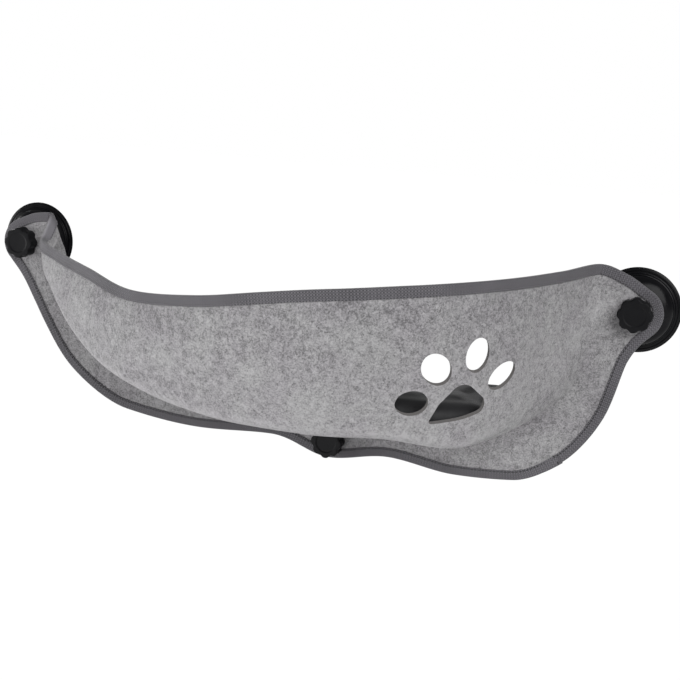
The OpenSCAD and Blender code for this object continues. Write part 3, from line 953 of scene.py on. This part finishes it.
class PERCH_OT_felt(bpy.types.Operator):
    """Make the felt sheet with its pleated pocket and its cut-out paw"""

    bl_idname = "perch.felt"
    bl_label = "Felt sheet"

    def execute(self, context):
        sheet = Sheet()
        steps = np.diff(sheet.points, axis=0, prepend=sheet.points[:1])
        lengths = np.cumsum(np.linalg.norm(steps, axis=2), axis=0)
        rows = np.stack([lengths, np.broadcast_to(ROWS / TOP_ROW, lengths.shape)], axis=2)
        felt = closed_between(
            "Felt_sheet", sheet.faces_at(FELT_T / 2), sheet.faces_at(-FELT_T / 2), {"Rows": rows})
        turn = sizes().paw_turn
        across = np.array([math.cos(turn), math.sin(turn), 0])
        out = np.array([math.sin(turn), -math.cos(turn), 0])
        up = np.array([0, 0, 1.0])
        skin = skin_of(felt)
        cutters = [punch(skin, outline, place(PAW_PLACE), across, up, out) for outline in paw_outlines()]
        cut(felt, cutters + [stud_punch(side) for side in FIXINGS])
        outwards(felt)
        sharpen(felt, 45)
        dress(felt, "felt", "sling", ["felt_panel"])
        return {"FINISHED"}


def tape_profile(lift=0.0):
    """The tape's folded section as (inset, height) pairs from the back border over the fold to the front one,
    and back along its inside. Also gives the length of its outside up to each point."""
    s = sizes()
    inside = FELT_T / 2 + s.tape_gap + lift
    outside = inside + s.tape_thickness
    wrap = s.tape_gap + s.tape_thickness + lift
    soft = 0.35 * s.tape_thickness
    front = [(s.tape_width, outside - soft), (s.tape_width - 2 * soft, outside)]
    front += [(s.tape_width * t, outside) for t in (0.75, 0.5, 0.25, 0.06)]
    fold = [(-wrap * math.sin(a), outside * math.cos(a)) for a in np.linspace(0.25, math.pi - 0.25, 7)]
    outer = front + fold + [(inset, -height) for inset, height in reversed(front)]
    inner = [(s.tape_width, -inside), (s.tape_width * 0.5, -inside), (0.0, -inside)]
    inner += [(-s.tape_gap, 0.0)]
    inner += [(0.0, inside), (s.tape_width * 0.5, inside), (s.tape_width, inside)]
    path = np.array(outer + inner)
    lengths = np.concatenate([[0], np.cumsum(np.linalg.norm(np.diff(path, axis=0), axis=1))])
    return path, np.concatenate([lengths, lengths[-1:]])


class PERCH_OT_binding(bpy.types.Operator):
    """Make the woven tape round the sheet's border, and the lap where its end covers its start"""

    bl_idname = "perch.binding"
    bl_label = "Edge tape"

    # Where the lap lies, as a share of half the cup spacing, on the bottom edge
    lap_share = 0.752

    def execute(self, context):
        border = Border(Sheet())
        path, around = tape_profile()
        rings = np.stack([border.offset(inset, height) for inset, height in path], axis=1)
        tape = swept("Edge_tape", rings, True, "Tape", (border.lengths, around))
        dress(tape, "binding", "sling", ["edge_binding"])
        self.add_lap(border)
        return {"FINISHED"}

    def add_lap(self, border):
        low_edge = np.arange(len(border.edge) // 2)
        start = low_edge[np.argmin(abs(border.edge[low_edge, 0] - self.lap_share * HALF))]
        count = round(sizes().tape_lap / (border.lengths[1] - border.lengths[0]))
        span = slice(start, start + count + 1)
        s = sizes()
        full = s.tape_thickness + s.tape_gap / 2
        rings = []
        for step, station in enumerate(range(start, start + count + 1)):
            # It rises out of the tape under it, up to its cut end
            path, around = tape_profile(lift=mix(-s.tape_thickness / 2, full, step / count))
            rings.append([border.offset(inset, height)[station] for inset, height in path])
        lap = swept("Edge_tape_lap", np.array(rings), False, "Tape", (border.lengths[span], around))
        sharpen(lap, 60)
        dress(lap, "binding", "sling")
        self.tack(border, start + count - 1, FELT_T / 2 + s.tape_gap + s.tape_thickness + full)

    def tack(self, border, station, height):
        """Stitches across the lap's cut end."""
        insets = np.linspace(0.0008, sizes().tape_width - 0.0006, 8)
        line = np.array([border.offset(inset, height)[station] for inset in insets])
        normals = np.repeat(border.normal[station:station + 1], len(insets), axis=0)
        sew("Lap_tack", line, normals, "sling", closed=False)


def node_group(name, **inputs):
    """A new Geometry Nodes tree and what it is given: each input's kind, with underscores for spaces."""
    tree = bpy.data.node_groups.new(name, "GeometryNodeTree")
    for label, kind in inputs.items():
        tree.interface.new_socket(label.replace("_", " "), in_out="INPUT", socket_type="NodeSocket" + kind)
    tree.interface.new_socket("Geometry", in_out="OUTPUT", socket_type="NodeSocketGeometry")
    graph = Graph(tree)
    return graph, graph.add("NodeGroupInput")


def end_group(graph, geometry, material):
    """Gives a tree's geometry its material and hands it out."""
    done = graph.add("GeometryNodeSetMaterial", {"Geometry": geometry, "Material": material})
    graph.add("NodeGroupOutput", {0: done})
    return graph.tree


def stitch_tree():
    """Geometry Nodes that sew a line: stitches at an even pitch, each along the line and on its face."""
    graph, given = node_group(
        "Sewn line", Line="Geometry", Pitch="Float", Length="Float", Width="Float", Thread="Material")
    line = graph.add("GeometryNodeMeshToCurve", {0: given})
    even = graph.add(
        "GeometryNodeResampleCurve", {"Curve": line, "Length": given.output("Pitch")}, mode="LENGTH")
    ball = graph.add("GeometryNodeMeshUVSphere", {"Segments": 6, "Rings": 4, "Radius": 0.5})
    girth = given.output("Width")
    size = graph.add("ShaderNodeCombineXYZ", {0: given.output("Length"), 1: girth, 2: girth * 0.8})
    stitch = graph.add("GeometryNodeTransform", {"Geometry": ball, "Scale": size})
    tangent = graph.add("GeometryNodeInputTangent")
    up = graph.add("GeometryNodeInputNamedAttribute", {"Name": "face_out"}, data_type="FLOAT_VECTOR")
    lying = graph.add("FunctionNodeAlignRotationToVector", {"Vector": tangent}, axis="X")
    facing = graph.add(
        "FunctionNodeAlignRotationToVector", {"Rotation": lying, "Vector": up}, axis="Z", pivot_axis="X")
    sewn = graph.add(
        "GeometryNodeInstanceOnPoints", {"Points": even, "Instance": stitch, "Rotation": facing})
    real = graph.add("GeometryNodeRealizeInstances", {0: sewn})
    smooth = graph.add("GeometryNodeSetShadeSmooth", {0: real})
    return end_group(graph, smooth, given.output("Thread"))


def grow(piece, tree, values):
    """Runs a Geometry Nodes tree on a piece with named inputs, and keeps the plain mesh."""
    modifier = piece.modifiers.new(tree.name, "NODES")
    modifier.node_group = tree
    for item in tree.interface.items_tree:
        if item.item_type == "SOCKET" and item.in_out == "INPUT" and item.name in values:
            modifier[item.identifier] = values[item.name]
    bake(piece)


def sew(name, points, normals, body, closed=True):
    """A row of stitches along a line of points."""
    mesh = bpy.data.meshes.new(name)
    count = len(points)
    edges = [(k, (k + 1) % count) for k in range(count if closed else count - 1)]
    mesh.from_pydata([tuple(p) for p in points], edges, [])
    mesh.attributes.new("face_out", "FLOAT_VECTOR", "POINT").data.foreach_set("vector", normals.ravel())
    seam = new_object(name, mesh)
    tree = bpy.data.node_groups.get("Sewn line") or stitch_tree()
    s = sizes()
    grow(seam, tree, {
        "Pitch": s.stitch_pitch, "Length": s.stitch_length, "Width": s.stitch_width,
        "Thread": finish_of("thread")})
    dress(seam, "thread", body)
    return seam


class PERCH_OT_stitches(bpy.types.Operator):
    """Sew the tape to the felt, with a seam on each face"""

    bl_idname = "perch.stitches"
    bl_label = "Tape stitches"

    def execute(self, context):
        s = sizes()
        sheet = Sheet()
        border = Border(sheet)
        height = FELT_T / 2 + s.tape_gap + s.tape_thickness
        inset = s.tape_width - s.stitch_inset
        seams = []
        for name, side in (("Front_stitches", 1), ("Back_stitches", -1)):
            seams.append(sew(name, border.offset(inset, side * height), side * border.normal, "sling"))
        self.declare_sheet(sheet, seams)
        return {"FINISHED"}

    def declare_sheet(self, sheet, seams):
        """Works out the area of the felt before it was hung, and keeps nothing of it."""
        float(sheet.area())


def cushion_grids(sheet, shrink=0.0):
    """Under and upper side of the cushion as grids of points."""
    s = sizes()
    first, last = (sheet.rib_column[k] for k in PAD_RIBS)
    # The CAD source starts one of its columns inside these ribs
    first += (sheet.rib_column[PAD_RIBS[0] + 1] - first) / 3
    last -= (last - sheet.rib_column[PAD_RIBS[1] - 1]) / 3
    thick = s.pad_thickness - 2 * shrink
    seam = s.pad_seam - shrink
    above = thick - seam - s.pad_band
    inset = 1 - shrink / PAD_HALF_DEPTH
    lift = FELT_T / 2 + PAD_FLOOR_GAP + shrink
    low, high = [], []
    for a in np.sin(np.radians(np.linspace(-90, 90, 45))):
        low.append([])
        high.append([])
        for b in np.sin(np.radians(np.linspace(-90, 90, 25))):
            u = mix(first, last, (1 + a * inset * (1 - PAD_WAIST * (1 - b * b))) / 2)
            w = mix(PAD_BACK, PAD_FRONT, (1 + b * inset * (1 - PAD_WAIST * (1 - a * a))) / 2)
            row = CREASE_ROW + (FOLD_ROW - CREASE_ROW) * w
            base = sheet.at(sheet.points, u, row) - sheet.at(sheet.normals, u, row) * lift
            fade = ((1 - a ** 6) * (1 - b ** 6)) ** PAD_FULLNESS
            crown = 1 - PAD_CROWN + PAD_CROWN * (1 - a * a) * (1 - b * b) + PAD_PLUMP * max(0, a) ** 3
            rise = np.array([0, s.pad_lean * ((1 - b) / 2) ** 2, seam])
            low[-1].append(base + rise * (1 - fade))
            high[-1].append(base + rise + np.array([0, 0, s.pad_band + above * fade * crown]))
    return np.array(low), np.array(high)


def swell(piece, cap):
    """Blows a closed cloth skin up like a filled cushion, and limits how far each point moves."""
    start = np.empty(len(piece.data.vertices) * 3)
    piece.data.vertices.foreach_get("co", start)
    out = np.empty_like(start)
    piece.data.vertices.foreach_get("normal", out)
    out = out.reshape(-1, 3)
    cloth = piece.modifiers.new("Swell", "CLOTH")
    for name, value in SWELL.items():
        setattr(cloth.settings, name, value)
    cloth.settings.effector_weights.gravity = 0
    scene = bpy.context.scene
    for number in range(1, SWELL_FRAMES + 1):
        scene.frame_set(number)
    bake(piece)
    scene.frame_set(1)
    end = np.empty_like(start)
    piece.data.vertices.foreach_get("co", end)
    move = (end - start).reshape(-1, 3)
    rise = (move * out).sum(axis=1, keepdims=True)
    move -= out * np.minimum(rise, 0) * (1 - PAD_SINK)
    length = np.linalg.norm(move, axis=1, keepdims=True)
    move *= np.minimum(1, cap / np.maximum(length, 1e-9))
    piece.data.vertices.foreach_set("co", (start.reshape(-1, 3) + move).ravel())
    piece.data.update()


def keep_off(piece, other, gap):
    """Moves a piece's points off those faces of another piece that look towards its middle."""
    middle = sum((vertex.co for vertex in piece.data.vertices), Vector()) / len(piece.data.vertices)
    facing = [
        tuple(face.vertices) for face in other.data.polygons
        if face.normal.dot(middle - face.center) > 0]
    skin = BVHTree.FromPolygons([vertex.co for vertex in other.data.vertices], facing)
    for vertex in piece.data.vertices:
        spot, normal, _, _ = skin.find_nearest(vertex.co, KEEP_OFF_REACH)
        if spot is not None:
            vertex.co += normal * max(0, gap - (vertex.co - spot).dot(normal))
    piece.data.update()


class PERCH_OT_cushion(bpy.types.Operator):
    """Make the filled cushion with its piping"""

    bl_idname = "perch.cushion"
    bl_label = "Cushion"

    def execute(self, context):
        sheet = Sheet()
        low, high = cushion_grids(sheet, PAD_SHRINK)
        cushion = closed_between("Cushion", low, high, {})
        outwards(cushion)
        remesh = cushion.modifiers.new("Remesh", "REMESH")
        remesh.mode = "VOXEL"
        remesh.voxel_size = sizes().voxel
        bake(cushion)
        swell(cushion, sizes().pad_swell)
        smooth = cushion.modifiers.new("Smooth", "SUBSURF")
        smooth.levels = 1
        smooth.render_levels = 1
        bake(cushion)
        keep_off(cushion, bpy.data.objects["Felt_sheet"], PAD_FELT_GAP)
        cushion.data.shade_smooth()
        dress(cushion, "cushion", "cushion", ["cushion_pad"])
        self.add_piping(cushion, sheet)
        return {"FINISHED"}

    def add_piping(self, cushion, sheet):
        """A corded seam round the cushion's border."""
        low, high = cushion_grids(sheet)
        middle = (low + high) / 2
        seam = np.concatenate([middle[:-1, 0], middle[-1, :-1], middle[:0:-1, -1], middle[0, :0:-1]])
        seam = evened(even_loop(seam, seam, PIPING_STEP)[0], 3)
        skin = skin_of(cushion)
        seam = evened(np.array([skin.find_nearest(Vector(p))[0] for p in seam]), 2)
        piping = cord_round("Cushion_piping", seam, sizes().piping_radius)
        dress(piping, "cushion", "cushion")


def cord_round(name, path, radius, sides=10):
    """A closed round cord along a loop of points."""
    heading = unit(np.roll(path, -1, axis=0) - np.roll(path, 1, axis=0))
    aside = unit(np.cross(heading, np.array([0, 0, 1.0])))
    over = np.cross(aside, heading)
    rings = [path + radius * (aside * math.cos(t) + over * math.sin(t)) for t in circle(sides)]
    return swept(name, np.stack(rings, axis=1), closed=True)


def cup_profile(rim, hub):
    """A suction cup: hollow underside, lip with a bead, step, dome and hub, and the hole for the stud."""
    web = rim - hub
    seal = hub + 0.93 * web
    quarter = np.radians(np.linspace(0, 90, 13))

    def at(out, up, fillet=0.0):
        return (hub + out * web, up * CUP_H, fillet)

    hollow = [(seal * math.cos(a), 0.12 * CUP_H * math.sin(a)) for a in reversed(quarter)]
    lip = [at(1, 0, 0.0003), at(1, 0.055, 0.0005), at(0.93, 0.075, 0.0004), at(0.92, 0.105, 0.0004),
           at(0.885, 0.105, 0.0004), at(0.875, 0.08, 0.0004), at(0.80, 0.095, 0.0008),
           at(0.785, 0.17, 0.0008)]
    dome = [(hub + 0.745 * web * math.cos(a), CUP_H * mix(0.185, 0.62, math.sin(a))) for a in quarter[:-1]]
    neck = [(hub, 0.66 * CUP_H, 0.0015), (hub, CUP_H - 0.001, 0.0005), (hub - 0.001, CUP_H, 0.0005)]
    head_back, head_front = STUD_HEAD_BACK - MOULD_GAP, STUD_HEAD_BACK + STUD_HEAD_T + MOULD_GAP
    bore, head = STUD_R + MOULD_GAP, STUD_HEAD_R + MOULD_GAP
    hole = [(bore, CUP_H), (bore, head_front), (head, head_front), (head, head_back), (0.0, head_back)]
    return hollow + lip + dome + neck + hole


class PERCH_OT_cups(bpy.types.Operator):
    """Make the three suction cups"""

    bl_idname = "perch.cups"
    bl_label = "Suction cups"

    def execute(self, context):
        for side in FIXINGS:
            node = f"{side}_suction_cup"
            cup = turned(f"{side.title()}_cup", side, cup_profile(half_width(node), CUP_HUB_R), 128)
            dress(cup, "cup_rubber", "sling", [node])
        return {"FINISHED"}


def threaded(name, side, start, end, radius):
    """A screw thread between two distances from the glass, closed by a chamfered tip."""
    s = sizes()
    turns = circle(28)
    rings = []
    for w in np.arange(start, end, s.thread_pitch / 4):
        fade = min(1, (w - start) / s.thread_pitch, (end - w) / (1.2 * s.thread_pitch))
        phase = (w / s.thread_pitch - turns / (2 * math.pi)) % 1
        depth = s.thread_depth * (1 - fade + fade * abs(2 * phase - 1))
        rings.append(ring_round(side, radius - depth - THREAD_PLAY, w, turns))
    thread = swept(name, np.array(rings), closed=False)
    sharpen(thread, 60)
    return thread


class PERCH_OT_studs(bpy.types.Operator):
    """Make the three threaded studs"""

    bl_idname = "perch.studs"
    bl_label = "Studs"

    def execute(self, context):
        for side in FIXINGS:
            back, end = from_glass(f"{side}_stud")
            front = back + STUD_HEAD_T
            head = [(0.0, back), (STUD_HEAD_R, back, 0.0003), (STUD_HEAD_R, front, 0.0003),
                    (STUD_CORE_R, front), (STUD_CORE_R, CUP_H + 0.0001), (0.0, CUP_H + 0.0001)]
            stud = turned(f"{side.title()}_stud_head", side, head, 48)
            thread = threaded(f"{side.title()}_stud_thread", side, CUP_H - 0.004, end, STUD_R)
            dress(stud, "stud_steel", "sling", [f"{side}_stud"])
            dress(thread, "stud_steel", "sling")
        return {"FINISHED"}


def knob_profile():
    """A clamp knob: washer seat and insert pocket behind, rounded shoulder and wide dished face in front."""
    back, front, r = KNOB_BACK, KNOB_FRONT, KNOB_R
    seat = WASHER_R + 0.0005
    pocket = INSERT_CORNER_R + MOULD_GAP
    return [
        (0.0, STUD_END + 0.001), (STUD_HOLE_R, STUD_END + 0.001), (STUD_HOLE_R, INSERT_FRONT),
        (pocket, INSERT_FRONT), (pocket, INSERT_BACK), (seat, INSERT_BACK), (seat, back),
        (r - 0.0008, back, 0.0004), (r, back + 0.0008, 0.0004), (r, front - 0.004), (r, front, 0.0022),
        (0.0105, front, 0.0006), (0.0095, front - 0.0005, 0.0006), (0.0, front - 0.0005),
    ]


def lobe_tree():
    """Geometry Nodes that press grooves into a knob's side, between its lobes."""
    graph, given = node_group(
        "Knob lobes", Knob="Geometry", Centre="Vector", Lobes="Float", Depth="Float",
        Inner_radius="Float", Outer_radius="Float", Plastic="Material")
    arm = graph.vector("SUBTRACT", graph.add("GeometryNodeInputPosition"), given.output("Centre"))
    flat = graph.vector("MULTIPLY", arm, (1, 0, 1))
    radius = graph.vector("LENGTH", flat).output("Value")
    angle = graph.maths("ARCTAN2", graph.part(flat, 2), graph.part(flat, 0))
    wave = graph.maths("COSINE", angle * given.output("Lobes"))
    groove = graph.maths("POWER", 0.5 - 0.5 * wave, 1.6)
    on_side = graph.ease(radius, given.output("Inner radius"), given.output("Outer radius"))
    depth = groove * on_side * given.output("Depth")
    inward = graph.add(
        "ShaderNodeVectorMath", {0: graph.vector("NORMALIZE", flat), "Scale": depth * -1.0},
        operation="SCALE")
    pressed = graph.add("GeometryNodeSetPosition", {"Geometry": given, "Offset": inward})
    real = graph.add("GeometryNodeRealizeInstances", {0: pressed})
    return end_group(graph, real, given.output("Plastic"))


class PERCH_OT_knobs(bpy.types.Operator):
    """Make the three lobed clamp knobs"""

    bl_idname = "perch.knobs"
    bl_label = "Knobs"

    def execute(self, context):
        tree = lobe_tree()
        for side in FIXINGS:
            knob = turned(f"{side.title()}_knob", side, knob_profile(), 240)
            grow(knob, tree, {
                "Centre": tuple(CENTRE[side]), "Lobes": float(sizes().lobes), "Depth": sizes().lobe_depth,
                "Inner radius": LOBE_INNER_R, "Outer radius": LOBE_OUTER_R,
                "Plastic": finish_of("knob_plastic")})
            sharpen(knob, 50)
            dress(knob, "knob_plastic", f"{side}_knob_body", [f"{side}_knob"])
        return {"FINISHED"}


class PERCH_OT_small_parts(bpy.types.Operator):
    """Give the washers and the threaded inserts their finishes"""

    bl_idname = "perch.small_parts"
    bl_label = "Washers and inserts"

    def execute(self, context):
        for side in FIXINGS:
            for part, finish in (
                    ("inner_washer", "washer_plastic"), ("outer_washer", "washer_plastic"),
                    ("knob_insert", "stud_steel")):
                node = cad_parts[f"{side}_{part}"]
                if not node.material_slots:
                    node.data.materials.append(finish_of(finish))
                for slot in node.material_slots:
                    slot.material = finish_of(finish)
        return {"FINISHED"}


def soft_lamp(name, spot, target, size, power):
    """A square soft lamp that shines at a point."""
    light = bpy.data.lights.new(name, "AREA")
    light.shape = "SQUARE"
    light.size = size
    light.energy = power
    lamp = new_object(name, light)
    lamp.location = spot
    lamp.rotation_euler = (Vector(target) - Vector(spot)).to_track_quat("-Z", "Y").to_euler()


def seen_by(graph, *kinds):
    """One for the rays of these kinds, and nought for others."""
    path = graph.add("ShaderNodeLightPath")
    seen = path.output(f"Is {kinds[0]} Ray")
    for kind in kinds[1:]:
        seen = graph.maths("MAXIMUM", seen, path.output(f"Is {kind} Ray"))
    return seen


def seen_as_white(graph, lit):
    """A shader that the camera, glossy and transmission rays see as nearly white."""
    seen = seen_by(graph, "Camera", "Glossy", "Transmission")
    white = graph.add("ShaderNodeEmission", {"Color": (1, 1, 1, 1), "Strength": 1.07})
    return graph.add("ShaderNodeMixShader", {0: seen * 0.93, 1: lit, 2: white})


class PERCH_OT_stage(bpy.types.Operator):
    """Set up the pale floor, the soft lamps and the camera"""

    bl_idname = "perch.stage"
    bl_label = "Stage"

    def execute(self, context):
        self.add_floor()
        self.add_light()
        self.add_camera()
        context.scene.view_settings.view_transform = "Standard"
        return {"FINISHED"}

    def add_floor(self):
        reach, height = 30.0, -1.2
        spots = [(x * reach, y * reach, height) for x, y in ((-1, -1), (1, -1), (1, 1), (-1, 1))]
        floor = mesh_piece("Floor", spots, [(0, 1, 2, 3)])
        paint = bpy.data.materials.new("Pale floor")
        paint.use_nodes = True
        graph = Graph(paint.node_tree)
        paint.node_tree.nodes.clear()
        lit = graph.add("ShaderNodeBsdfDiffuse", {"Color": (0.8, 0.8, 0.8, 1)})
        graph.add("ShaderNodeOutputMaterial", {0: seen_as_white(graph, lit)})
        floor.data.materials.append(paint)

    def add_light(self):
        world = bpy.data.worlds.new("Soft studio")
        bpy.context.scene.world = world
        world.use_nodes = True
        graph = Graph(world.node_tree)
        world.node_tree.nodes.clear()
        seen = seen_by(graph, "Camera", "Transmission")
        dim = graph.add("ShaderNodeBackground", {"Color": (1, 1, 1, 1), "Strength": 0.27})
        white = graph.add("ShaderNodeBackground", {"Color": (1, 1, 1, 1), "Strength": 1.0})
        sky = graph.add("ShaderNodeMixShader", {0: seen, 1: dim, 2: white})
        graph.add("ShaderNodeOutputWorld", {0: sky})
        for lamp in LAMPS:
            soft_lamp(*lamp)

    def add_camera(self):
        azimuth, elevation, roll = (math.radians(a) for a in (CAMERA_AZIMUTH, CAMERA_ELEVATION, CAMERA_ROLL))
        level = math.cos(elevation)
        back = Vector((math.sin(azimuth) * level, -math.cos(azimuth) * level, math.sin(elevation)))
        right = (-back).cross(Vector((0, 0, 1))).normalized()
        up = right.cross(-back)
        turned_right = right * math.cos(roll) + up * math.sin(roll)
        turned_up = -right * math.sin(roll) + up * math.cos(roll)
        data = bpy.data.cameras.new("Photograph")
        data.sensor_width = SENSOR
        data.lens = FOCAL_PX / IMAGE_SIZE * SENSOR
        camera = new_object("Photograph", data)
        axes = Matrix((turned_right, turned_up, back)).transposed()
        spot = Vector(CAMERA_TARGET) + back * CAMERA_DISTANCE
        camera.matrix_world = Matrix.Translation(spot) @ axes.to_4x4()
        bpy.context.scene.camera = camera


OPERATORS = (
    PERCH_OT_felt, PERCH_OT_binding, PERCH_OT_stitches, PERCH_OT_cushion, PERCH_OT_cups, PERCH_OT_studs,
    PERCH_OT_knobs, PERCH_OT_small_parts, PERCH_OT_stage,
)


class PERCH_PT_panel(bpy.types.Panel):
    """Lists the steps of the perch with its sizes and colours"""

    bl_label = "Felt Window Perch"
    bl_space_type = "VIEW_3D"
    bl_region_type = "UI"
    bl_category = "Perch"

    def draw(self, context):
        column = self.layout.column(align=True)
        for operator in OPERATORS:
            column.operator(operator.bl_idname)
        for group in (context.scene.perch_sizes, context.scene.perch_colours):
            box = self.layout.box()
            for name in group.bl_rna.properties.keys():
                if name not in ("rna_type", "name"):
                    box.prop(group, name)


CLASSES = (PerchSizes, PerchColours, *OPERATORS, PERCH_PT_panel)


def register():
    for cls in CLASSES:
        bpy.utils.register_class(cls)
    bpy.types.Scene.perch_sizes = PointerProperty(type=PerchSizes)
    bpy.types.Scene.perch_colours = PointerProperty(type=PerchColours)


def unregister():
    del bpy.types.Scene.perch_colours
    del bpy.types.Scene.perch_sizes
    for cls in reversed(CLASSES):
        bpy.utils.unregister_class(cls)


def run(idname):
    """Calls an operator by its bl_idname."""
    family, name = idname.split(".")
    getattr(getattr(bpy.ops, family), name)()


def main():
    register()
    for operator in OPERATORS:
        run(operator.bl_idname)


if __name__ == "__main__":
    main()
